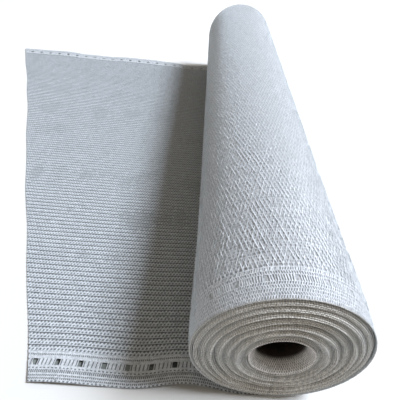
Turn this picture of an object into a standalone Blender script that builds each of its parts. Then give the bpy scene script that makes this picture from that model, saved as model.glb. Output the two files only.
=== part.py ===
"""A roll of knitted shade cloth whose loose end is laid out flat on the floor.

The cloth is one length, wound round a hollow middle. Its outer turn comes down the right
side of the roll, reaches the floor under the roll's axis and runs on to the left as a flat
sheet. The roll is one solid of its wound form, and the loose end is one sheet that starts
where the outer turn stops, so that the two meet end to end.

Metres, +Z up. The roll's axis runs along Y, with its near end at Y = 0 before the last step,
which stands the whole part over the origin. Blender 4.5: run it in the background or from
the text editor.
"""

import math

import bmesh
import bpy
from mathutils import Matrix, Vector

MM = 0.001

# The cloth
CLOTH_WIDTH = 900 * MM
CLOTH_THICKNESS = 1.5 * MM
LOOSE_LENGTH = 577 * MM
NEAR_LENGTH = 237 * MM
END_REACH = 58 * MM
CLOTH_COLOUR = (0.62, 0.65, 0.69, 1.0)
CLOTH_ROUGHNESS = 0.55

# The roll
ROLL_RADIUS = 80.6 * MM
SAG = 0.6 * MM
SEAT_GAP = 0.3 * MM
OUTER_TURN_ROOT = 77.9 * MM
OUTER_TURN_LEFT = 0.22
LEFT_SLACK = 3.0 * MM
LEFT_SLACK_REACH = 60 * MM
SWELL = 2.2 * MM
SWELL_PLACE = 40 * MM
TURN_STEPS = 72

# Buttonholes along both selvedges
BUTTONHOLE_WIDTH = 5.0 * MM
BUTTONHOLE_PITCH = 24.1 * MM
BUTTONHOLE_FIRST = -20.8 * MM
BUTTONHOLE_COUNT = 23
BAND_FROM_EDGE = 17.4 * MM
BAND_DEPTH = 6.4 * MM

# The near end face, from the rim in: how far each edge stands proud of the rim, in mm
NEAR_FACE = (
    # radius, proud
    (80.3, 0.0),
    (79.0, 0.0),
    (77.9, -1.6),
    (76.8, 0.3),
    (68.2, 0.8),
    (67.4, 0.1),
    (66.6, 1.2),
    (58.6, 1.4),
    (57.6, 0.2),
    (56.6, 2.2),
    (47.6, 3.2),
    (46.6, 2.2),
    (45.6, 4.0),
    (39.4, 4.8),
    (38.6, 4.0),
    (37.6, 4.8),
    (31.6, 4.2),
    (30.7, 3.0),
    (29.8, 3.4),
    (28.6, 3.2),
)

# The flared mouth of the hollow middle, from the face in, in mm
NEAR_MOUTH = (
    # radius, depth
    (27.2, -1.6),
    (25.2, 1.2),
    (23.2, 5.0),
    (21.8, 9.0),
    (21.0, 13.0),
)

# The far end face is a shallow dish, because each turn is the same width of cloth
FAR_FACE = (
    # radius, proud
    (21.0, 1.0),
    (22.2, -0.6),
    (29.8, -3.2),
    (38.0, -4.6),
    (46.0, -3.6),
    (57.0, -1.6),
    (67.0, -0.8),
    (76.8, -0.3),
    (77.9, -1.8),
    (79.0, 0.0),
    (80.3, 0.0),
)

# Rows of points along the roll's outer wall, from the far end to the near end
WALL_ROWS = tuple(
    y * MM for y in (899.6, 780, 560, 340, 230, 165, 120, 85, 58, 36, 16, 0.4)
)

# How each selvedge of the loose end lies: along it, how far it is lifted off the floor
# in crests and how far it is drawn towards the far side, all in mm
NEAR_SELVEDGE = (
    # x, lifted, drawn
    (-577, 2.4, -2.0),
    (-530, 0.8, -2.5),
    (-470, 4.0, -1.5),
    (-395, 0.4, -3.0),
    (-330, 5.0, -2.0),
    (-262, 0.4, -3.8),
    (-205, 3.8, -3.2),
    (-140, 0.0, -2.8),
    (-78, 8.2, 2.0),
    (-22, 0.0, -0.4),
    (0, 0.0, 0.0),
)
FAR_SELVEDGE = (
    # x, lifted, drawn
    (-577, 1.2, -6.0),
    (-513, 2.4, -7.4),
    (-459, 3.0, -7.2),
    (-401, 0.5, -9.8),
    (-346, 0.3, -11.4),
    (-292, 2.5, -11.8),
    (-236, 2.5, -14.0),
    (-180, 1.6, -17.5),
    (-124, 0.0, -25.5),
    (-83, 1.0, -22.5),
    (-30, 0.0, -8.0),
    (0, 0.0, 0.0),
)
LIFT_REACH = 50 * MM
DRAW_REACH = 380 * MM

# Rows of points across the loose end, as distances from the nearer selvedge
SHEET_ROWS = tuple(y * MM for y in (0, 8, 17.4, 23.8, 33, 47, 66, 92, 130, 190, 290))


def clear_scene():
    """Removes whatever objects the open file holds."""
    for old in list(bpy.data.objects):
        bpy.data.objects.remove(old)


def new_collection(name):
    made = bpy.data.collections.new(name)
    bpy.context.scene.collection.children.link(made)
    return made


def cloth_material():
    """Light grey knitted polyethylene yarn."""
    made = bpy.data.materials.new("shade_cloth")
    made.use_nodes = True
    shader = made.node_tree.nodes["Principled BSDF"]
    shader.inputs["Base Color"].default_value = CLOTH_COLOUR
    shader.inputs["Roughness"].default_value = CLOTH_ROUGHNESS
    shader.inputs["Metallic"].default_value = 0.0
    return made


def roll_profile():
    """The closed outline of the roll's section through its axis, as (radius, y) pairs, from the groove
    under the outer turn on the near face, round the mouth, bore, far face and wall, back to that groove."""
    outline = [(r * MM, -proud * MM) for r, proud in NEAR_FACE]
    outline += [(r * MM, depth * MM) for r, depth in NEAR_MOUTH]
    outline += [(r * MM, CLOTH_WIDTH + proud * MM) for r, proud in FAR_FACE]
    outline += [(ROLL_RADIUS, y) for y in WALL_ROWS]
    return outline


def end_bulge(turn, y):
    """How far the outer turns stand off near the near end, where they are slack on the left side and
    swollen a little on both sides."""
    y = max(0.0, y)
    slack = LEFT_SLACK * math.exp(-y / LEFT_SLACK_REACH) * max(0.0, -math.sin(turn)) ** 2
    swollen = SWELL * y / SWELL_PLACE * math.exp(1 - y / SWELL_PLACE)
    return slack + swollen * math.sin(turn) ** 2


def wound_place(turn, radius, y):
    """Where a profile point lies after that much of a turn, counted from the floor up the right side."""
    if radius > OUTER_TURN_ROOT:
        kept = 1.0 - (1.0 - OUTER_TURN_LEFT) * turn / math.tau
        radius = OUTER_TURN_ROOT + (radius - OUTER_TURN_ROOT) * kept
    radius += end_bulge(turn, y) * min(1.0, radius / ROLL_RADIUS) ** 3
    axis_height = ROLL_RADIUS - SAG
    place = Vector((radius * math.sin(turn), y, axis_height - radius * math.cos(turn)))
    floor = 0.0 if turn < math.pi else CLOTH_THICKNESS + SEAT_GAP
    place.z = max(place.z, floor)
    return place


def make_roll(collection, material):
    """The wound cloth: its section is spun once round the axis, then each point is moved in or out to
    form the outer turn's spiral, the flat spot and the slack at the near end."""
    bm = bmesh.new()
    points = [bm.verts.new((0.0, y, -r)) for r, y in roll_profile()]
    edges = [bm.edges.new(pair) for pair in zip(points, points[1:] + points[:1])]
    spun = bmesh.ops.spin(
        bm,
        geom=points + edges,
        axis=(0.0, -1.0, 0.0),
        cent=(0.0, 0.0, 0.0),
        steps=TURN_STEPS,
        angle=math.tau,
        use_merge=False,
    )
    last = {v for v in spun["geom_last"] if isinstance(v, bmesh.types.BMVert)}
    step = math.tau / TURN_STEPS
    for v in bm.verts:
        turn = math.atan2(v.co.x, -v.co.z) % math.tau
        turn = round(turn / step) % TURN_STEPS * step
        if v in last:
            turn = math.tau
        radius = math.hypot(v.co.x, v.co.z)
        v.co = wound_place(turn, radius, v.co.y)
    bmesh.ops.remove_doubles(bm, verts=bm.verts, dist=0.01 * MM)
    lap_edge = [e for e in bm.edges if e.is_boundary]
    bmesh.ops.contextual_create(bm, geom=lap_edge)
    bmesh.ops.triangulate(bm, faces=[f for f in bm.faces if len(f.verts) > 4])
    bmesh.ops.recalc_face_normals(bm, faces=bm.faces)
    return finish_mesh(bm, "roll", collection, material)


def sheet_columns():
    """The x of each line of points along the loose end: the cut end, both sides of every buttonhole,
    and the end under the roll."""
    columns = [-LOOSE_LENGTH, -SEAT_GAP]
    for number in range(BUTTONHOLE_COUNT):
        middle = BUTTONHOLE_FIRST - number * BUTTONHOLE_PITCH
        columns += [middle - BUTTONHOLE_WIDTH / 2, middle + BUTTONHOLE_WIDTH / 2]
    return sorted(columns)


def sheet_rows():
    """The y of each line of points across the loose end, the same from both selvedges."""
    near = list(SHEET_ROWS)
    far = [CLOTH_WIDTH - y for y in reversed(SHEET_ROWS)]
    return near + [CLOTH_WIDTH / 2] + far


def eased(table, x, column):
    """The value of one column of a table at x, eased in and out between its rows."""
    x = min(max(x / MM, table[0][0]), table[-1][0])
    for left, right in zip(table, table[1:]):
        if x <= right[0]:
            share = (x - left[0]) / (right[0] - left[0])
            share = 0.5 - 0.5 * math.cos(math.pi * share)
            return (left[column] + (right[column] - left[column]) * share) * MM
    return 0.0


def cut_end(y):
    """The x of the cut end at y. It was cut at a slant: LOOSE_LENGTH is left along the far selvedge and
    NEAR_LENGTH along the near one."""
    return -(NEAR_LENGTH + (LOOSE_LENGTH - NEAR_LENGTH) * y / CLOTH_WIDTH)


def laid_place(x, y):
    """Where the point (x, y) of the flat cloth lies: lifted in soft crests along the selvedges, drawn
    aside towards the far side as each selvedge is, with the cut end a little uneven."""
    near, far = y, CLOTH_WIDTH - y
    lift = eased(NEAR_SELVEDGE, x, 1) * math.exp(-((near / LIFT_REACH) ** 2))
    lift += eased(FAR_SELVEDGE, x, 1) * math.exp(-((far / LIFT_REACH) ** 2))
    if lift < 0.05 * MM:
        lift = 0.0
    drawn = eased(NEAR_SELVEDGE, x, 2) * max(0.0, 1.0 - near / DRAW_REACH) ** 2
    drawn += eased(FAR_SELVEDGE, x, 2) * max(0.0, 1.0 - far / DRAW_REACH) ** 2
    end_share = max(0.0, 1.0 - (x - cut_end(y)) / END_REACH)
    ragged = 1.6 * MM * math.sin(11 * y + 1.0) + 0.8 * MM * math.sin(37 * y)
    return Vector((x + ragged * end_share, y + drawn, lift))


def make_loose_end(collection, material):
    """The flat sheet: one grid of cloth with its buttonholes left out and its end cut at a slant, laid in
    its crests and given its thickness upwards, so that its underside rests on the floor."""
    columns, rows = sheet_columns(), sheet_rows()
    bm = bmesh.new()
    bmesh.ops.create_grid(
        bm, x_segments=len(columns) - 1, y_segments=len(rows) - 1, size=0.5
    )
    for v in bm.verts:
        column = round((v.co.x + 0.5) * (len(columns) - 1))
        row = round((v.co.y + 0.5) * (len(rows) - 1))
        v.co = (columns[column], rows[row], 0.0)
    holes = [f for f in bm.faces if is_buttonhole(f.calc_center_median())]
    bmesh.ops.delete(bm, geom=holes, context="FACES")
    bmesh.ops.bisect_plane(
        bm,
        geom=bm.verts[:] + bm.edges[:] + bm.faces[:],
        dist=0.1 * MM,
        plane_co=(cut_end(0.0), 0.0, 0.0),
        plane_no=(-CLOTH_WIDTH, NEAR_LENGTH - LOOSE_LENGTH, 0.0),
        clear_outer=True,
    )
    for v in bm.verts:
        v.co = laid_place(v.co.x, v.co.y)
    sheet = finish_mesh(bm, "loose_end", collection, material)
    thick = sheet.modifiers.new("Thickness", "SOLIDIFY")
    thick.thickness = CLOTH_THICKNESS
    thick.offset = 1.0
    return sheet


def is_buttonhole(middle):
    """True for the middle of a grid cell that is a buttonhole of either selvedge."""
    from_edge = min(middle.y, CLOTH_WIDTH - middle.y)
    if not BAND_FROM_EDGE < from_edge < BAND_FROM_EDGE + BAND_DEPTH:
        return False
    number = (BUTTONHOLE_FIRST - middle.x) / BUTTONHOLE_PITCH
    near_number = abs(number - round(number)) * BUTTONHOLE_PITCH
    return 0 <= round(number) < BUTTONHOLE_COUNT and near_number < BUTTONHOLE_WIDTH / 2


def finish_mesh(bm, name, collection, material):
    """Makes one named object of a finished bmesh."""
    mesh = bpy.data.meshes.new(name)
    bm.to_mesh(mesh)
    bm.free()
    mesh.materials.append(material)
    mesh.shade_smooth()
    mesh.set_sharp_from_angle(angle=math.radians(35))
    made = bpy.data.objects.new(name, mesh)
    collection.objects.link(made)
    return made


def stand_over_origin(pieces, collection):
    """Hangs the pieces on an empty and moves it so that the origin lies under the middle of the whole part,
    on the floor."""
    bpy.context.view_layer.update()
    graph = bpy.context.evaluated_depsgraph_get()
    corners = [
        piece.matrix_world @ v.co
        for piece in pieces
        for v in piece.evaluated_get(graph).data.vertices
    ]
    low = Vector([min(c[k] for c in corners) for k in range(3)])
    high = Vector([max(c[k] for c in corners) for k in range(3)])
    holder = bpy.data.objects.new("shade_cloth_part", None)
    collection.objects.link(holder)
    holder.location = (-(low.x + high.x) / 2, -(low.y + high.y) / 2, -low.z)
    for piece in pieces:
        piece.parent = holder
        piece.matrix_parent_inverse = Matrix.Identity(4)


def main():
    clear_scene()
    collection = new_collection("shade_cloth")
    material = cloth_material()
    roll = make_roll(collection, material)
    loose_end = make_loose_end(collection, material)
    stand_over_origin([roll, loose_end], collection)


main()
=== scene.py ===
"""A roll of knitted shade cloth with its loose end laid out on the floor, dressed for its picture."""

import math

import bmesh
import bpy
from mathutils import Matrix, Vector, noise


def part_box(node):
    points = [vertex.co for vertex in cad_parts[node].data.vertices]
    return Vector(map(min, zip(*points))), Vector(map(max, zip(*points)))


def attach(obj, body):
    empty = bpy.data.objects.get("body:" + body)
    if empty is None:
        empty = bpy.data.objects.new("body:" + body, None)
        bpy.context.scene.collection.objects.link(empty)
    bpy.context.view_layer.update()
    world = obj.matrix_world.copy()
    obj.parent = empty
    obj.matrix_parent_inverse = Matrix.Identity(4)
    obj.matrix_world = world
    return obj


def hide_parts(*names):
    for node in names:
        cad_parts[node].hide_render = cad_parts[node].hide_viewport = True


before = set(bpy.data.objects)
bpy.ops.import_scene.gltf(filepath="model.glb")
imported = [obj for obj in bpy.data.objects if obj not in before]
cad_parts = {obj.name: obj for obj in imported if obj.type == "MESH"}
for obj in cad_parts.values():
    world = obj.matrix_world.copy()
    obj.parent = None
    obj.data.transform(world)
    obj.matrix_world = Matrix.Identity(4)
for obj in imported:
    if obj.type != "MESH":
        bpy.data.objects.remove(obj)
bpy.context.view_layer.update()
MM = 0.001

# The ground of the loose end. The cloth is knitted from flat polyethylene tape, and behind its open face
# the inlaid tapes lie side by side, painted a darker grey for the shade in the recess behind the face. It
# comes off the roll at x = 0 and lies loose on the floor, lifted in soft crests along both selvedges, where
# only the ladder bands and their buttonholes are open right through.
CLOTH_WIDTH = 900 * MM
FAR_LENGTH = 577 * MM
NEAR_LENGTH = 237 * MM
STITCH = 24.1 * MM / 6
FINE_STEP = STITCH / 4
LOOSE_CELLS = 597
LADDER_TO = 24.0 * MM
BUTTONHOLE_EVERY = 24
FIRST_COLUMN = -(20.8 + 24 * 24.1) * MM - FINE_STEP / 2
NEAR_SELVEDGE = (
    # x, lifted, drawn towards the far side, in mm
    (-577, 2.4, -2.0),
    (-530, 0.8, -2.5),
    (-470, 4.0, -1.5),
    (-395, 0.4, -3.0),
    (-330, 5.0, -2.0),
    (-262, 0.4, -3.8),
    (-205, 3.8, -3.2),
    (-140, 0.0, -2.8),
    (-78, 8.2, 2.0),
    (-22, 0.0, -0.4),
    (0, 0.0, 0.0),
)
FAR_SELVEDGE = (
    # x, lifted, drawn towards the far side, in mm
    (-577, 1.2, -6.0),
    (-513, 2.4, -7.4),
    (-459, 3.0, -7.2),
    (-401, 0.5, -9.8),
    (-346, 0.3, -11.4),
    (-292, 2.5, -11.8),
    (-236, 2.5, -14.0),
    (-180, 1.6, -17.5),
    (-124, 0.0, -25.5),
    (-83, 1.0, -22.5),
    (-30, 0.0, -8.0),
    (0, 0.0, 0.0),
)
ROLL_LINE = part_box("loose_end")[1].x + 0.3 * MM
NEAR_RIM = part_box("roll")[0].y + 4.8 * MM


def eased(table, x, column):
    """One column of a table at x, in mm, eased in and out between its rows."""
    x = min(max(x, table[0][0]), table[-1][0])
    for left, right in zip(table, table[1:]):
        if x <= right[0]:
            share = 0.5 - 0.5 * math.cos(math.pi * (x - left[0]) / (right[0] - left[0]))
            return left[column] + (right[column] - left[column]) * share
    return 0.0


def cut_end(across):
    """Where the loose end was cut off, at a slant, shorter along the near selvedge."""
    return -(NEAR_LENGTH + (FAR_LENGTH - NEAR_LENGTH) * across / CLOTH_WIDTH)


LAID_CACHE = {}


def laid(along, across, height):
    """Where a point of the laid cloth is: along it from the roll, across it from the near selvedge, and its
    height over the floor side of the cloth."""
    key = round(along / MM, 3)
    if key not in LAID_CACHE:
        LAID_CACHE[key] = [
            eased(table, key, column) * MM
            for table in (NEAR_SELVEDGE, FAR_SELVEDGE)
            for column in (1, 2)
        ]
    near_lift, near_drawn, far_lift, far_drawn = LAID_CACHE[key]
    far = CLOTH_WIDTH - across
    lift = near_lift * math.exp(-((across / 0.050) ** 2))
    lift += far_lift * math.exp(-((far / 0.050) ** 2))
    drawn = near_drawn * max(0.0, 1.0 - across / 0.38) ** 2
    drawn += far_drawn * max(0.0, 1.0 - far / 0.38) ** 2
    skewed = math.sin(math.pi * min(1.0, across / 0.3)) ** 2
    drawn += 0.024 * (along + 0.15) * skewed * max(0.0, 1.0 + along / 0.4)
    end_share = max(0.0, 1.0 - (along - cut_end(across)) / 0.058)
    ragged = 1.6 * MM * math.sin(11 * across + 1.0) + 0.8 * MM * math.sin(37 * across)
    settled = 0.35 * MM * (1.0 + noise.noise(Vector((along * 22, across * 22, 0))))
    x = ROLL_LINE + along + ragged * end_share
    return Vector((x, NEAR_RIM + across + drawn, lift + settled + height))


PILLAR, TAPE, WIDE_TAPE, SLIT = "pillar", "tape", "wide tape", "slit"
LADDER, THIN_LADDER, HOLES = "ladder", "thin ladder", "holes"


def ladder_gap(kind, column):
    """True for a fine cell of a ladder band that is open: the five of a buttonhole, and some between two
    buttonholes. The cells are counted so that a buttonhole's middle one is a multiple of 24."""
    if kind not in (LADDER, THIN_LADDER, HOLES):
        return False
    from_hole = min(column % BUTTONHOLE_EVERY, -column % BUTTONHOLE_EVERY)
    if from_hole <= 2 or kind == HOLES:
        return from_hole <= 2
    return from_hole % (4 if kind == LADDER else 2) == 0


def knitted(name, columns, lines, place, tape_width=STITCH / 2, slant=0.0, zigzag=False, cut=False):
    """A piece of cloth as one grid with its gaps left out. columns are distances along the cloth. lines are
    (across the cloth, height, kind of the strip from here to the next line). A tape strip is crossed by a
    tape at every second column, staggered from strip to strip, tape_width wide and slanted."""
    last_column, last_line = len(columns) - 1, len(lines) - 1
    tape_number, kinds = [], [line[2] for line in lines]
    for kind in kinds[:-1]:
        tape_number.append(len([n for n in tape_number if n is not None]) if kind == TAPE else None)
    tape_number.append(None)

    def open_cell(column, line):
        if kinds[line] == TAPE:
            return (column + tape_number[line]) % 2 == 0
        if kinds[line] == WIDE_TAPE:
            return column % 4 < 2
        return kinds[line] == SLIT or ladder_gap(kinds[line], column)

    def shift(column, line):
        if LADDER in (kinds[line], kinds[line - 1]):
            return 0.08 * MM * (ladder_gap(LADDER, column - 1) - ladder_gap(LADDER, column))
        upper = tape_number[line] is None
        strip = tape_number[line - 1] if upper else tape_number[line]
        if strip is None:
            return 0.0
        squeeze = (columns[1] - columns[0] - tape_width) / 2
        way = -1 if zigzag and strip % 2 else 1
        return (squeeze if (column + strip) % 2 else -squeeze) + way * slant * (upper - 0.5)

    bm = bmesh.new()
    bmesh.ops.create_grid(bm, x_segments=last_column, y_segments=last_line, size=0.5)
    gaps = []
    for face in bm.faces:
        middle = face.calc_center_median()
        if open_cell(int((middle.x + 0.5) * last_column), int((middle.y + 0.5) * last_line)):
            gaps.append(face)
    bmesh.ops.delete(bm, geom=gaps, context="FACES")
    for v in bm.verts:
        column = round((v.co.x + 0.5) * last_column)
        line = round((v.co.y + 0.5) * last_line)
        across, height, kind = lines[line]
        v.co = (columns[column] + shift(column, line), across, height)
    if cut:
        trim(bm)
    return laid_out(bm, name, place)


def laid_out(bm, name, place):
    """Keeps where each point lies in the flat cloth, then puts it in its place."""
    lay = bm.loops.layers.uv.new("lay")
    for face in bm.faces:
        for loop in face.loops:
            loop[lay].uv = loop.vert.co.xy
    for v in bm.verts:
        v.co = place(*v.co)
    return piece_of(bm, name)


def trim(bm):
    """Cuts the flat cloth off along the slant of its end."""
    bmesh.ops.bisect_plane(
        bm,
        geom=bm.verts[:] + bm.edges[:] + bm.faces[:],
        dist=0.02 * MM,
        plane_co=(cut_end(0.0), 0.0, 0.0),
        plane_no=(-CLOTH_WIDTH, NEAR_LENGTH - FAR_LENGTH, 0.0),
        clear_outer=True,
    )


def piece_of(bm, name, smooth=False):
    mesh = bpy.data.meshes.new(name)
    bm.to_mesh(mesh)
    bm.free()
    if smooth:
        mesh.shade_smooth()
    made = bpy.data.objects.new(name, mesh)
    bpy.context.scene.collection.objects.link(made)
    return made


def edge_with(made, material, width):
    """Gives a strip along each selvedge of a piece its own material."""
    made.data.materials.append(material)
    lay = made.data.uv_layers["lay"].uv
    for face in made.data.polygons:
        across = sum(lay[n].vector.y for n in face.loop_indices) / face.loop_total
        if min(across, CLOTH_WIDTH - across) < width:
            face.material_index = 1


def tape_material(name, light, dark, rough, streak_depth):
    """Drawn polyethylene tape: fine streaks along the cloth, slow patches of a slightly other grey, and a
    dull shine that varies with the streaks."""
    made = bpy.data.materials.new(name)
    made.use_nodes = True
    tree = made.node_tree
    shader = tree.nodes["Principled BSDF"]
    shader.inputs["Sheen Weight"].default_value = 0.8
    shader.inputs["Sheen Roughness"].default_value = 0.5
    shader.inputs["Sheen Tint"].default_value = (0.86, 0.94, 1.0, 1.0)
    lay = tree.nodes.new("ShaderNodeUVMap")
    lay.uv_map = "lay"
    stretched = tree.nodes.new("ShaderNodeMapping")
    stretched.inputs["Scale"].default_value = (420.0, 420.0, 1.0)
    streaks = tree.nodes.new("ShaderNodeTexNoise")
    streaks.inputs["Scale"].default_value = 1.0
    streaks.inputs["Detail"].default_value = 3.0
    patches = tree.nodes.new("ShaderNodeTexNoise")
    patches.inputs["Scale"].default_value = 110.0
    patches.inputs["Detail"].default_value = 2.0
    both = tree.nodes.new("ShaderNodeMath")
    both.operation = "MULTIPLY_ADD"
    both.inputs[1].default_value = 0.4
    greys = tree.nodes.new("ShaderNodeValToRGB")
    greys.color_ramp.elements[0].position = 0.54
    greys.color_ramp.elements[0].color = (*dark, 1.0)
    greys.color_ramp.elements[1].position = 0.86
    greys.color_ramp.elements[1].color = (*light, 1.0)
    shine = tree.nodes.new("ShaderNodeMapRange")
    shine.inputs["To Min"].default_value = rough - 0.08
    shine.inputs["To Max"].default_value = rough + 0.10
    bump = tree.nodes.new("ShaderNodeBump")
    bump.inputs["Strength"].default_value = streak_depth
    bump.inputs["Distance"].default_value = 0.3 * MM
    join = tree.links.new
    join(lay.outputs["UV"], stretched.inputs["Vector"])
    join(stretched.outputs["Vector"], streaks.inputs["Vector"])
    join(lay.outputs["UV"], patches.inputs["Vector"])
    join(patches.outputs["Fac"], both.inputs[0])
    join(streaks.outputs["Fac"], both.inputs[2])
    join(both.outputs["Value"], greys.inputs["Fac"])
    join(greys.outputs["Color"], shader.inputs["Base Color"])
    join(streaks.outputs["Fac"], shine.inputs["Value"])
    join(shine.outputs["Result"], shader.inputs["Roughness"])
    join(streaks.outputs["Fac"], bump.inputs["Height"])
    join(bump.outputs["Normal"], shader.inputs["Normal"])
    return made


def waves(tree, coordinate, pitch, start):
    """A wave along one coordinate of the cloth, 1 at start and again at each pitch."""
    turned = tree.nodes.new("ShaderNodeMath")
    turned.operation = "MULTIPLY_ADD"
    turned.inputs[1].default_value = math.tau / pitch
    turned.inputs[2].default_value = -math.tau * start / pitch
    wave = tree.nodes.new("ShaderNodeMath")
    wave.operation = "COSINE"
    tree.links.new(coordinate, turned.inputs[0])
    tree.links.new(turned.outputs["Value"], wave.inputs[0])
    return wave.outputs["Value"]


def add_gap_shade(made, pitch, start, row_pitch, row_start, darkest, sharp=(-0.1, 0.75)):
    """Darkens a tape material with painted shade in a staggered pattern of spots, where tapes part from each
    other and the gaps between them lie in shade. A pitch of None leaves that way out, and the spots become lines."""
    tree = made.node_tree
    shader = tree.nodes["Principled BSDF"]
    lay = next(n for n in tree.nodes if n.type == "UVMAP")
    apart = tree.nodes.new("ShaderNodeSeparateXYZ")
    tree.links.new(lay.outputs["UV"], apart.inputs["Vector"])
    crossed = tree.nodes.new("ShaderNodeMath")
    crossed.operation = "MULTIPLY"
    crossed.inputs[0].default_value = 1.0
    if pitch:
        tree.links.new(waves(tree, apart.outputs["X"], pitch, start), crossed.inputs[0])
    tree.links.new(waves(tree, apart.outputs["Y"], row_pitch, row_start), crossed.inputs[1])
    depth = tree.nodes.new("ShaderNodeMapRange")
    depth.interpolation_type = "SMOOTHSTEP"
    depth.inputs["From Min"].default_value = sharp[0]
    depth.inputs["From Max"].default_value = sharp[1]
    depth.inputs["To Min"].default_value = 1.0
    depth.inputs["To Max"].default_value = darkest
    tree.links.new(crossed.outputs["Value"], depth.inputs["Value"])
    shade = tree.nodes.new("ShaderNodeVectorMath")
    shade.operation = "SCALE"
    greys = shader.inputs["Base Color"].links[0].from_socket
    tree.links.new(greys, shade.inputs[0])
    tree.links.new(depth.outputs["Result"], shade.inputs["Scale"])
    tree.links.new(shade.outputs["Vector"], shader.inputs["Base Color"])
    relief = tree.nodes.new("ShaderNodeBump")
    relief.inputs["Strength"].default_value = 0.6
    relief.inputs["Distance"].default_value = 0.5 * MM
    finer = shader.inputs["Normal"].links[0].from_socket
    tree.links.new(depth.outputs["Result"], relief.inputs["Height"])
    tree.links.new(finer, relief.inputs["Normal"])
    tree.links.new(relief.outputs["Normal"], shader.inputs["Normal"])
    return made


PILLAR_WIDTH = 1.0 * MM
LIGHT_PILLAR_WIDTH = 0.9 * MM
GAP_LENGTH = 2.7 * MM
ROW_PITCH = PILLAR_WIDTH + LIGHT_PILLAR_WIDTH + 2 * GAP_LENGTH
BODY_FROM = 32.1 * MM
FIRST_GAP = FIRST_COLUMN + FINE_STEP
# Painted shade: the inlaid tape is a darker grey than the face, with darker spots where the face's gaps lie over
# it.
shaded_inlaid_tape = add_gap_shade(
    tape_material("shaded_inlaid_tape", (0.44, 0.465, 0.49), (0.30, 0.32, 0.34), 0.5, 0.6),
    STITCH,
    FIRST_GAP,
    ROW_PITCH,
    BODY_FROM + PILLAR_WIDTH + GAP_LENGTH / 2,
    0.35,
    sharp=(0.0, 0.9),
)
# Painted shade: a dark line along the ground under the slit in front of each heavy pillar.
add_gap_shade(shaded_inlaid_tape, None, 0.0, ROW_PITCH, BODY_FROM - 0.5 * MM, 0.3, sharp=(0.75, 0.97))


def fine_cells(first, count):
    return [first + FINE_STEP * n for n in range(count + 1)]


GROUND_HEIGHT = 0.55 * MM
half = (0, 5, 10, 16, 17.3, 24, 33, 47, 66, 92, 130, 190, 290, 380)
ground_lines = [(y * MM, GROUND_HEIGHT, HOLES if y == 17.3 else PILLAR) for y in half]
ground_lines.append((450 * MM, GROUND_HEIGHT, PILLAR))
ground_lines += [
    (CLOTH_WIDTH - y * MM, GROUND_HEIGHT, HOLES if y == 24 else PILLAR) for y in reversed(half)
]
laid_ground = knitted("laid_ground", fine_cells(FIRST_COLUMN, LOOSE_CELLS), ground_lines, laid, cut=True)
laid_ground.data.materials.append(shaded_inlaid_tape)
# Painted shade: the ground within 31 mm of each selvedge is much darker, so the ladder's gaps and close rows show
# dark.
shaded_edge_ground = tape_material("shaded_edge_ground", (0.20, 0.21, 0.22), (0.12, 0.125, 0.13), 0.6, 0.6)
edge_with(laid_ground, shaded_edge_ground, 31 * MM)
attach(laid_ground, "root")
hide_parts("loose_end")


# The open face of the loose end. Pillars of chain stitch run along the cloth, and between them tapes slant
# across, which leaves two staggered rows of small gaps for each heavy pillar and a slit in front of it,
# over painted shade on the ground that makes it dark.
SLIT_WIDTH = 0.75 * MM
PILLAR_ROWS = 114


def body_lines(pillar_height, light_height):
    """The lines of the cloth's body from the near side to the far side."""
    lines = []
    for number in range(PILLAR_ROWS + 1):
        across = BODY_FROM + number * ROW_PITCH
        lines += [(across, pillar_height, PILLAR), (across + PILLAR_WIDTH, pillar_height, TAPE)]
        if number < PILLAR_ROWS:
            across += PILLAR_WIDTH + GAP_LENGTH
            lines += [(across, light_height, PILLAR), (across + LIGHT_PILLAR_WIDTH, light_height, TAPE)]
            lines.append((across + LIGHT_PILLAR_WIDTH + GAP_LENGTH - SLIT_WIDTH, light_height, SLIT))
    return lines


def uneven(place, step, amount):
    """The same placing, with each point of the knit a little out of line."""

    def placed(along, across, height):
        seed = Vector((along / step, across / step, 3.0))
        off = noise.noise_vector(seed) * amount
        return place(along + off.x, across + off.y, height + off.z * 0.7)

    return placed


face_tape = tape_material("face_tape", (0.75, 0.785, 0.825), (0.54, 0.57, 0.605), 0.42, 0.5)
stitch_columns = fine_cells(FIRST_COLUMN, LOOSE_CELLS)[::2]
laid_face = knitted(
    "laid_face",
    stitch_columns,
    body_lines(0.85 * MM, 0.7 * MM),
    uneven(laid, STITCH / 3, 0.45 * MM),
    tape_width=1.2 * MM,
    slant=1.4 * MM,
    cut=True,
)
laid_face.data.materials.append(face_tape)
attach(laid_face, "root")
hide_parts("loose_end")


# The heavy pillars of the loose end: low round cords of chain stitch that stand up a little from the face
# and hold the slanting tapes down.
RIB_SECTION = (
    # across from the pillar's near edge, height over the face, in mm
    (0.0, 0.0),
    (0.3, 0.55),
    (0.7, 0.55),
    (1.0, 0.0),
)
bm = bmesh.new()
last = len(stitch_columns) // 3
for number in range(PILLAR_ROWS + 1):
    made = bmesh.ops.create_grid(bm, x_segments=last, y_segments=3, size=0.5)["verts"]
    for v in made:
        column = round((v.co.x + 0.5) * last)
        near, height = RIB_SECTION[round((v.co.y + 0.5) * 3)]
        across = BODY_FROM + number * ROW_PITCH + near * MM
        v.co = (stitch_columns[min(3 * column, len(stitch_columns) - 1)], across, (0.9 + height) * MM)
trim(bm)
laid_ribs = laid_out(bm, "laid_ribs", laid)


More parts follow.
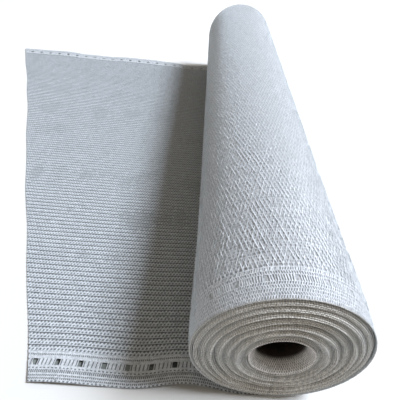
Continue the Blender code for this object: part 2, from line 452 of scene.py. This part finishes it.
def chain_material():
    """Chain stitch: the tape's grey, in links one stitch long that show as beads of light and shade."""
    made = tape_material("chain_stitch", (0.72, 0.755, 0.79), (0.55, 0.585, 0.62), 0.38, 0.3)
    tree = made.node_tree
    shader = tree.nodes["Principled BSDF"]
    apart = tree.nodes.new("ShaderNodeSeparateXYZ")
    lay_map = next(n for n in tree.nodes if n.type == "UVMAP")
    tree.links.new(lay_map.outputs["UV"], apart.inputs["Vector"])
    links = waves(tree, apart.outputs["X"], STITCH, 0.0)
    stand_up = tree.nodes.new("ShaderNodeBump")
    stand_up.inputs["Strength"].default_value = 0.7
    stand_up.inputs["Distance"].default_value = 0.3 * MM
    finer = shader.inputs["Normal"].links[0].from_socket
    tree.links.new(links, stand_up.inputs["Height"])
    tree.links.new(finer, stand_up.inputs["Normal"])
    tree.links.new(stand_up.outputs["Normal"], shader.inputs["Normal"])
    return made


chain_stitch = chain_material()
laid_ribs.data.materials.append(chain_stitch)
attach(laid_ribs, "root")
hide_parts("loose_end")


# The selvedges of the loose end. Outside the ladder band lie five close rows of small stitches, and inside
# it one more. The ladder's rungs are slanted tapes, left out where a buttonhole goes through.
CLOSE_LINES = (
    # across from the selvedge, height, in mm, and the kind of the strip that follows
    (0.0, 0.30, PILLAR),
    (0.4, 0.60, WIDE_TAPE),
    (1.7, 0.70, PILLAR),
    (2.9, 0.60, TAPE),
    (4.6, 0.80, PILLAR),
    (5.9, 0.70, TAPE),
    (7.6, 0.80, PILLAR),
    (9.2, 0.70, TAPE),
    (12.6, 0.80, PILLAR),
    (13.7, 0.75, WIDE_TAPE),
    (15.0, 0.75, PILLAR),
    (17.3, 0.85, LADDER),
    (24.0, 0.85, PILLAR),
    (26.0, 0.80, PILLAR),
    (27.8, 0.80, TAPE),
    (29.7, 0.75, PILLAR),
    (32.1, 0.80, PILLAR),
)


def selvedge_lines(lines, far_side, sunk=0.0):
    """A selvedge's lines in metres, turned about for the far side, where each strip comes before its line."""
    if far_side:
        kinds = [kind for across, height, kind in lines[-2::-1]] + [PILLAR]
        turned = [(CLOTH_WIDTH / MM - across, height) for across, height, kind in reversed(lines)]
        lines = [(across, height, kind) for (across, height), kind in zip(turned, kinds)]
    return [(across * MM, height * MM - sunk, kind) for across, height, kind in lines]


def slanted(place, amount):
    """The same placing, with the rungs of the ladder slanted one way and the other."""
    knit = uneven(place, STITCH / 3, 0.35 * MM)

    def placed(along, across, height):
        from_edge = min(across, CLOTH_WIDTH - across)
        if abs(from_edge - LADDER_TO) < 0.1 * MM:
            along += amount * (0.6 + noise.noise(Vector((along / (9 * MM), 0.0, 8.0))))
        return knit(along, across, height)

    return placed


selvedge_tape = tape_material("selvedge_tape", (0.70, 0.73, 0.765), (0.47, 0.495, 0.525), 0.42, 0.5)
for far_side in (False, True):
    made = knitted(
        "laid_far_selvedge" if far_side else "laid_near_selvedge",
        fine_cells(FIRST_COLUMN, LOOSE_CELLS),
        selvedge_lines(CLOSE_LINES, far_side),
        slanted(laid, 0.9 * MM),
        tape_width=0.8 * MM,
        slant=0.3 * MM,
        cut=True,
    )
    made.data.materials.append(selvedge_tape)
    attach(made, "root")
    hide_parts("loose_end")


# The roll's outer turn. The cloth comes up from the floor on the right with its other face outwards, where
# two nets of slanted tapes cross in steep diamonds and the pillars sink between them. Under it shows the
# next turn, painted darker for the shade under the outer turn.
AXIS_HEIGHT = 80.0 * MM
OUTER_RADIUS = 80.6 * MM
TURN_GROWTH = 2.1 * MM
ROUND_CELLS = 240
THIN_PILLAR_WIDTH = 0.35 * MM
ROUND_STEP = math.tau * OUTER_RADIUS / ROUND_CELLS


def outer_radius(turn):
    return OUTER_RADIUS - TURN_GROWTH * turn / math.tau


def slack(turn, y, radius):
    """How far the turns stand off near the near end, slack on the left and swollen on both sides."""
    y = max(0.0, y)
    off = 3.0 * MM * math.exp(-y / 0.060) * max(0.0, -math.sin(turn)) ** 2
    off += 2.2 * MM * y / 0.040 * math.exp(1 - y / 0.040) * math.sin(turn) ** 2
    return off * min(1.0, radius / OUTER_RADIUS) ** 3


def wound(turn, radius, y):
    """Where a point of the wound cloth is: its turn from the floor up the right side, its distance from the
    roll's axis and its distance from the near rim."""
    radius += slack(turn, y, radius)
    x = ROLL_LINE + radius * math.sin(turn)
    z = AXIS_HEIGHT - radius * math.cos(turn)
    floor = 0.3 * MM if turn % math.tau < math.pi else 1.9 * MM
    return Vector((x, NEAR_RIM + y, max(z, floor)))


def on_outer_turn(along, across, height):
    turn = along / OUTER_RADIUS
    return wound(turn, outer_radius(turn) + height, across)


def net_lines(start, height):
    """The lines of one net of the roll's face: thin sunk pillars, and between them one long strip of tapes."""
    lines = []
    for number in range(PILLAR_ROWS + 1):
        across = start + number * ROW_PITCH
        lines += [(across, height, PILLAR), (across + THIN_PILLAR_WIDTH, height, TAPE)]
    return lines


round_columns = [n * ROUND_STEP for n in range(ROUND_CELLS + 1)]
fine_round = [n * ROUND_STEP / 2 for n in range(2 * ROUND_CELLS + 1)]
roll_tape = tape_material("roll_tape", (0.84, 0.86, 0.89), (0.56, 0.58, 0.61), 0.38, 0.6)
# Painted light and shade on the turns' cut edges: a warmer grey than the cloth's faces for the warm light on the
# shaded ends, darker beads 2.1 mm apart where the stitches part, and darker grooves (darken_grooves below).
edge_tape = add_gap_shade(
    tape_material("edge_tape", (0.88, 0.835, 0.77), (0.62, 0.585, 0.53), 0.55, 0.9),
    2.1 * MM,
    0.0,
    1.0,
    0.0,
    0.62,
    sharp=(-0.8, 0.9),
)


IN_THE_OPEN, DEEP_IN, GROOVE_SHADE = -2.2, 2.6, 0.62


def darken_grooves(made):
    """Lets a material grow darker where an edge lies behind its neighbours and little light reaches it."""
    tree = made.node_tree
    shader = tree.nodes["Principled BSDF"]
    behind = tree.nodes.new("ShaderNodeAttribute")
    behind.attribute_name = "behind"
    deep = tree.nodes.new("ShaderNodeMapRange")
    deep.interpolation_type = "SMOOTHSTEP"
    deep.inputs["From Min"].default_value = IN_THE_OPEN
    deep.inputs["From Max"].default_value = DEEP_IN
    deep.inputs["To Min"].default_value = 1.0
    deep.inputs["To Max"].default_value = GROOVE_SHADE
    shade = tree.nodes.new("ShaderNodeVectorMath")
    shade.operation = "SCALE"
    greys = shader.inputs["Base Color"].links[0].from_socket
    tree.links.new(behind.outputs["Fac"], deep.inputs["Value"])
    tree.links.new(greys, shade.inputs[0])
    tree.links.new(deep.outputs["Result"], shade.inputs["Scale"])
    tree.links.new(shade.outputs["Vector"], shader.inputs["Base Color"])


darken_grooves(edge_tape)
roll_parts = []
for name, start, height, way in (
    ("roll_face", BODY_FROM, -0.25 * MM, 1),
    ("roll_cross", BODY_FROM - ROW_PITCH / 2, -0.55 * MM, -1),
):
    made = knitted(
        name,
        round_columns,
        net_lines(start, height),
        uneven(on_outer_turn, STITCH / 3, 0.75 * MM),
        tape_width=0.8 * MM,
        slant=way * 2.1 * MM,
    )
    made.data.materials.append(roll_tape)
    roll_parts.append(made)
OUTSIDE_LINES = (
    # across from the selvedge, height, in mm, and the kind of the strip that follows
    (2.0, -0.75, PILLAR),
    (0.1, -0.35, PILLAR),
    (-0.1, 0.15, TAPE),
    (0.8, 0.50, TAPE),
    (3.6, 0.40, PILLAR),
    (4.1, 0.45, TAPE),
    (7.0, 0.40, PILLAR),
    (7.5, 0.45, TAPE),
    (10.4, 0.40, PILLAR),
    (10.9, 0.45, TAPE),
    (13.8, 0.40, PILLAR),
    (14.3, 0.45, TAPE),
    (16.7, 0.45, PILLAR),
    (17.3, 0.45, THIN_LADDER),
    (24.0, 0.45, PILLAR),
    (24.6, 0.45, TAPE),
    (27.6, 0.40, PILLAR),
    (28.2, 0.45, TAPE),
    (31.4, 0.40, PILLAR),
    (32.1, 0.35, PILLAR),
)
for far_side in (False, True):
    made = knitted(
        "roll_far_selvedge" if far_side else "roll_near_selvedge",
        fine_round,
        selvedge_lines(OUTSIDE_LINES, far_side, sunk=0.75 * MM),
        slanted(on_outer_turn, 1.4 * MM),
        tape_width=0.8 * MM,
        slant=0.8 * MM,
        zigzag=True,
    )
    made.data.materials.append(roll_tape)
    edge_with(made, edge_tape, 0.85 * MM)
    roll_parts.append(made)

# Painted shade: the next turn is a darker grey than the outer turn, with darker spots under the gaps of its net.
shaded_under_tape = add_gap_shade(
    tape_material("shaded_under_tape", (0.60, 0.61, 0.63), (0.41, 0.42, 0.435), 0.45, 0.8),
    2 * ROUND_STEP,
    ROUND_STEP / 2,
    ROW_PITCH,
    BODY_FROM + PILLAR_WIDTH + GAP_LENGTH / 2,
    0.65,
)
under_lines = [(y * MM, -1.05 * MM, PILLAR) for y in (1, 12, 24, 40, 60, 85, 120, 165, 230, 340, 620, 899)]
roll_under = knitted("roll_under_turn", round_columns[::2], under_lines, on_outer_turn)
roll_under.data.materials.append(shaded_under_tape)
roll_parts.append(roll_under)
for made in roll_parts:
    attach(made, "root")
    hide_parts("roll")


# The wound turns. At both ends of the roll the selvedges of some forty turns show on edge, one inside the
# next. They were wound by hand, so they step in and out and stand open in places.
TURN_STEPS = 181
EDGE_THICKNESS = 0.78 * MM
EDGE_DEPTH = 13 * MM
TURN_RADII = (
    # turn, radius in mm
    (1, 77.7),
    (2.1, 76.4),
    (3.0, 74.9),
    (16, 59.6),
    (17, 57.4),
    (41, 30.1),
)
NEAR_PROUD = (
    # radius, proud in mm: the turns stand out in seven soft rings
    (29.0, 4.0),
    (32.5, 2.2),
    (39.7, 5.6),
    (43.0, 2.8),
    (46.2, 5.0),
    (50.0, 1.6),
    (53.7, 4.2),
    (57.4, 0.0),
    (61.5, 4.0),
    (64.6, 1.4),
    (67.8, 3.2),
    (70.5, 0.4),
    (73.2, 1.8),
    (75.6, 0.2),
    (76.8, -1.8),
    (78.2, -0.4),
    (80.0, 0.0),
)
FAR_PROUD = (
    # radius, proud in mm
    (29, -3.2),
    (34, -5.0),
    (38, -4.0),
    (42, -5.2),
    (46, -3.2),
    (51, -3.4),
    (57, -1.2),
    (61, -1.8),
    (67, -0.4),
    (72, -1.2),
    (80, 0.0),
)


def between(table, x):
    """The table's value at x, in a straight line between its rows."""
    x = min(max(x, table[0][0]), table[-1][0])
    for left, right in zip(table, table[1:]):
        if x <= right[0]:
            return left[1] + (right[1] - left[1]) * (x - left[0]) / (right[0] - left[0])
    return table[-1][1]


def edge_line(turns, far_end):
    """A turn's radius, the place of its edge along the roll and how far it lies behind the rings on both
    sides of it, at a count of turns from the outside."""
    angle = (turns % 1.0) * math.tau
    radius = between(TURN_RADII, turns)
    swirl = Vector((math.cos(angle) * 1.3, math.sin(angle) * 1.3, radius / 9.0))

    def stands(at):
        return between(FAR_PROUD if far_end else NEAR_PROUD, at)

    proud = stands(radius)
    radius += 1.1 * noise.noise(swirl) * min(1.0, (79.0 - radius) / 8)
    proud += 0.7 * noise.noise(Vector((turns * 1.7, 2.0 * far_end, 0.5)))
    proud += 0.9 * noise.noise(swirl * 2.1)
    proud += 0.35 * noise.noise(Vector((math.cos(angle) * 26, math.sin(angle) * 26, turns)))
    bead = -1 if round(turns * TURN_STEPS) % 2 else 1
    edge = CLOTH_WIDTH + (proud + 0.15 * bead) * MM if far_end else -(proud + 0.15 * bead) * MM
    groove = (stands(radius - 3.3) + stands(radius + 3.3)) / 2 - stands(radius)
    return (radius + 0.1 * bead) * MM, edge, groove * MM


def wound_edges(name, far_end, steps):
    """The spiral strip of one end: an inner wall, a rounded edge and an outer wall for each turn."""
    bm = bmesh.new()
    lay = bm.loops.layers.uv.new("lay")
    inwards = -1.0 if far_end else 1.0
    section = ((-0.5, 1.0), (-0.5, 0.03), (0.0, 0.0), (0.5, 0.03), (0.5, 1.0))
    first, last = TURN_RADII[0][0], TURN_RADII[-1][0]
    total = round((last - first) * steps)
    bmesh.ops.create_grid(bm, x_segments=total, y_segments=len(section) - 1, size=0.5)
    behind = bm.verts.layers.float.new("behind")
    places = {}
    for v in bm.verts:
        turns = first + round((v.co.x + 0.5) * total) / steps
        side, deep = section[round((v.co.y + 0.5) * (len(section) - 1))]
        radius, edge, groove = edge_line(turns, far_end)
        v[behind] = groove / MM + 4 * deep
        angle = -(turns % 1.0) * math.tau
        y = edge + inwards * EDGE_DEPTH * deep
        places[v] = wound(angle % math.tau, radius + side * EDGE_THICKNESS, y)
        v.co = (angle * radius, y, 0.0)
    for face in bm.faces:
        for loop in face.loops:
            loop[lay].uv = loop.vert.co.xy
    for v, place in places.items():
        v.co = place
    bmesh.ops.recalc_face_normals(bm, faces=bm.faces)
    return piece_of(bm, name, smooth=True)


for name, far_end in (("near_turns", False), ("far_turns", True)):
    made = wound_edges(name, far_end, TURN_STEPS)
    made.data.materials.append(edge_tape)
    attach(made, "root")
    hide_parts("roll")


# The hollow middle. The innermost turn flares to a soft lip at the near end, narrows to the bore that the
# cloth was wound on, and runs through to the far end.
MOUTH = (
    # radius, depth behind the near rim, in mm
    (30.2, 8.0),
    (29.9, -2.2),
    (29.3, -3.3),
    (28.5, -3.2),
    (27.4, -1.8),
    (26.2, 0.2),
    (24.9, 2.4),
    (23.6, 5.2),
    (22.4, 8.6),
    (21.5, 12.5),
    (21.1, 20.0),
    (21.0, 60.0),
    (21.0, 200.0),
    (21.0, 520.0),
    (21.0, 880.0),
    (21.6, 898.0),
    (22.6, 900.2),
    (24.4, 899.4),
    (26.5, 898.0),
    (29.4, 896.8),
    (30.2, 888.0),
)
MOUTH_STEPS = 96
bm = bmesh.new()
lay = bm.loops.layers.uv.new("lay")
bmesh.ops.create_grid(bm, x_segments=MOUTH_STEPS, y_segments=len(MOUTH) - 1, size=0.5)
places = {}
for v in bm.verts:
    turn = (v.co.x + 0.5) * math.tau
    radius, depth = MOUTH[round((v.co.y + 0.5) * (len(MOUTH) - 1))]
    swirl = Vector((math.cos(turn) * 1.6, math.sin(turn) * 1.6, depth / 30.0))
    radius += 0.9 * noise.noise(swirl)
    radius -= 2.6 * max(0.0, -math.cos(turn)) ** 2 * max(0.0, 1.0 - max(0.0, depth) / 12)
    places[v] = wound(turn, radius * MM, depth * MM)
    v.co = (turn * 25 * MM, depth * MM, 0.0)
for face in bm.faces:
    for loop in face.loops:
        loop[lay].uv = loop.vert.co.xy
for v, place in places.items():
    v.co = place
bmesh.ops.remove_doubles(bm, verts=bm.verts, dist=0.01 * MM)
inner_turn = piece_of(bm, "inner_turn", smooth=True)


def inner_material():
    """The knit of the innermost turn, in a warmer grey for the warm light on the shaded end, its gaps as painted
    shade and relief. It grows dark a finger's breadth in, where the light no longer reaches."""
    made = add_gap_shade(
        tape_material("inner_knit", (0.82, 0.78, 0.74), (0.58, 0.55, 0.52), 0.5, 0.8),
        STITCH / 2,
        0.0,
        ROW_PITCH / 2,
        0.0,
        0.35,
        sharp=(-0.3, 0.8),
    )
    tree = made.node_tree
    shader = tree.nodes["Principled BSDF"]
    apart = tree.nodes.new("ShaderNodeSeparateXYZ")
    lay_map = next(n for n in tree.nodes if n.type == "UVMAP")
    tree.links.new(lay_map.outputs["UV"], apart.inputs["Vector"])
    dusk = tree.nodes.new("ShaderNodeValToRGB")
    dusk.color_ramp.elements[0].position = 0.0
    dusk.color_ramp.elements[0].color = (1.0, 1.0, 1.0, 1.0)
    dusk.color_ramp.elements[1].position = 1.0
    dusk.color_ramp.elements[1].color = (0.03, 0.02, 0.014, 1.0)
    depth = tree.nodes.new("ShaderNodeMapRange")
    depth.interpolation_type = "SMOOTHSTEP"
    depth.inputs["From Min"].default_value = 5.0 * MM
    depth.inputs["From Max"].default_value = 11.0 * MM
    tree.links.new(apart.outputs["Y"], depth.inputs["Value"])
    tree.links.new(depth.outputs["Result"], dusk.inputs["Fac"])
    shade = tree.nodes.new("ShaderNodeMix")
    shade.data_type = "RGBA"
    shade.blend_type = "MULTIPLY"
    shade.inputs["Factor"].default_value = 1.0
    greys = shader.inputs["Base Color"].links[0].from_socket
    tree.links.new(greys, shade.inputs["A"])
    tree.links.new(dusk.outputs["Color"], shade.inputs["B"])
    tree.links.new(shade.outputs["Result"], shader.inputs["Base Color"])
    shader.inputs["Sheen Weight"].default_value = 0.0
    return made


inner_turn.data.materials.append(inner_material())
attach(inner_turn, "root")
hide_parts("roll")


# The studio: a plain pale floor, painted grey under the loose end as shade that shows through the cloth's
# holes, one broad soft light high on the right, a weaker one behind the roll, and pale light from all round.
bm = bmesh.new()
bmesh.ops.create_grid(bm, x_segments=2, y_segments=2, size=9.0)
bmesh.ops.translate(bm, verts=bm.verts, vec=(0.0, 3.0, -0.05 * MM))
floor = piece_of(bm, "floor")
paint = bpy.data.materials.new("pale_floor")
paint.use_nodes = True
floor_tree = paint.node_tree
floor_tree.nodes["Principled BSDF"].inputs["Roughness"].default_value = 0.8
floor_tree.nodes["Principled BSDF"].inputs["Specular IOR Level"].default_value = 0.0
floor_place = floor_tree.nodes.new("ShaderNodeTexCoord")
floor_apart = floor_tree.nodes.new("ShaderNodeSeparateXYZ")
floor_tree.links.new(floor_place.outputs["Object"], floor_apart.inputs["Vector"])


def within(coordinate, start, end):
    """1 on the floor between start and end, 0 outside."""
    middle = floor_tree.nodes.new("ShaderNodeMath")
    middle.operation = "COMPARE"
    middle.inputs[1].default_value = (start + end) / 2
    middle.inputs[2].default_value = (end - start) / 2
    floor_tree.links.new(coordinate, middle.inputs[0])
    return middle.outputs["Value"]


covered = floor_tree.nodes.new("ShaderNodeMath")
covered.operation = "MULTIPLY"
slope = (FAR_LENGTH - NEAR_LENGTH) / CLOTH_WIDTH
along_floor = floor_tree.nodes.new("ShaderNodeMath")
along_floor.operation = "MULTIPLY_ADD"
along_floor.inputs[1].default_value = slope
floor_tree.links.new(floor_apart.outputs["Y"], along_floor.inputs[0])
floor_tree.links.new(floor_apart.outputs["X"], along_floor.inputs[2])
cut_line = ROLL_LINE - NEAR_LENGTH + slope * NEAR_RIM
floor_tree.links.new(within(along_floor.outputs["Value"], cut_line + 5 * MM, 2.0), covered.inputs[0])
floor_tree.links.new(
    within(floor_apart.outputs["Y"], NEAR_RIM + 9 * MM, NEAR_RIM + CLOTH_WIDTH - 36 * MM), covered.inputs[1]
)
covered_left = floor_tree.nodes.new("ShaderNodeMath")
covered_left.operation = "MULTIPLY"
floor_tree.links.new(covered.outputs["Value"], covered_left.inputs[0])
floor_tree.links.new(within(floor_apart.outputs["X"], -1.0, ROLL_LINE), covered_left.inputs[1])
# Painted shade: grey on the floor inside the loose end's outline, inset from its edges.
floor_painted_shade = floor_tree.nodes.new("ShaderNodeMix")
floor_painted_shade.data_type = "RGBA"
floor_painted_shade.inputs["A"].default_value = (0.78, 0.77, 0.75, 1.0)
floor_painted_shade.inputs["B"].default_value = (0.24, 0.26, 0.25, 1.0)
floor_tree.links.new(covered_left.outputs["Value"], floor_painted_shade.inputs["Factor"])
floor_tree.links.new(floor_painted_shade.outputs["Result"], floor_tree.nodes["Principled BSDF"].inputs["Base Color"])
floor.data.materials.append(paint)

lamp = bpy.data.lights.new("key", "SUN")
lamp.energy = 4.55
lamp.angle = math.radians(20)
lamp.color = (0.83, 0.90, 1.0)
key = bpy.data.objects.new("key", lamp)
key.rotation_euler = Vector((0.80, 0.05, 1.0)).to_track_quat("Z", "Y").to_euler()
bpy.context.scene.collection.objects.link(key)

behind = bpy.data.lights.new("behind", "AREA")
behind.size = 0.5
behind.energy = 10.0
behind.color = (0.83, 0.90, 1.0)
back = bpy.data.objects.new("behind", behind)
back.location = (ROLL_LINE + 1.0, NEAR_RIM + 1.3, 0.9)
back.rotation_euler = Vector((1.0, 0.6, 0.85)).to_track_quat("Z", "Y").to_euler()
bpy.context.scene.collection.objects.link(back)

world = bpy.data.worlds.new("studio")
world.use_nodes = True
world.node_tree.nodes["Background"].inputs["Color"].default_value = (1.0, 0.90, 0.76, 1.0)
world.node_tree.nodes["Background"].inputs["Strength"].default_value = 0.27
bpy.context.scene.world = world
bpy.context.scene.view_settings.view_transform = "Standard"

# The camera stands close in front of the loose end and looks down over it, tilted a few degrees.
eye = Vector((ROLL_LINE - 88.64 * MM, NEAR_RIM - 179.52 * MM, 393.6 * MM))
camera = bpy.data.objects.new("camera", bpy.data.cameras.new("camera"))
camera.data.sensor_width = 36.0
camera.data.lens = 34.98
camera.data.clip_start = 0.01
camera.matrix_world = (
    Matrix.Translation(eye)
    @ Matrix.Rotation(math.radians(-1.475), 4, "Z")
    @ Matrix.Rotation(math.radians(90 - 39.317), 4, "X")
    @ Matrix.Rotation(math.radians(5.488), 4, "Z")
)
bpy.context.scene.collection.objects.link(camera)
bpy.context.scene.camera = camera
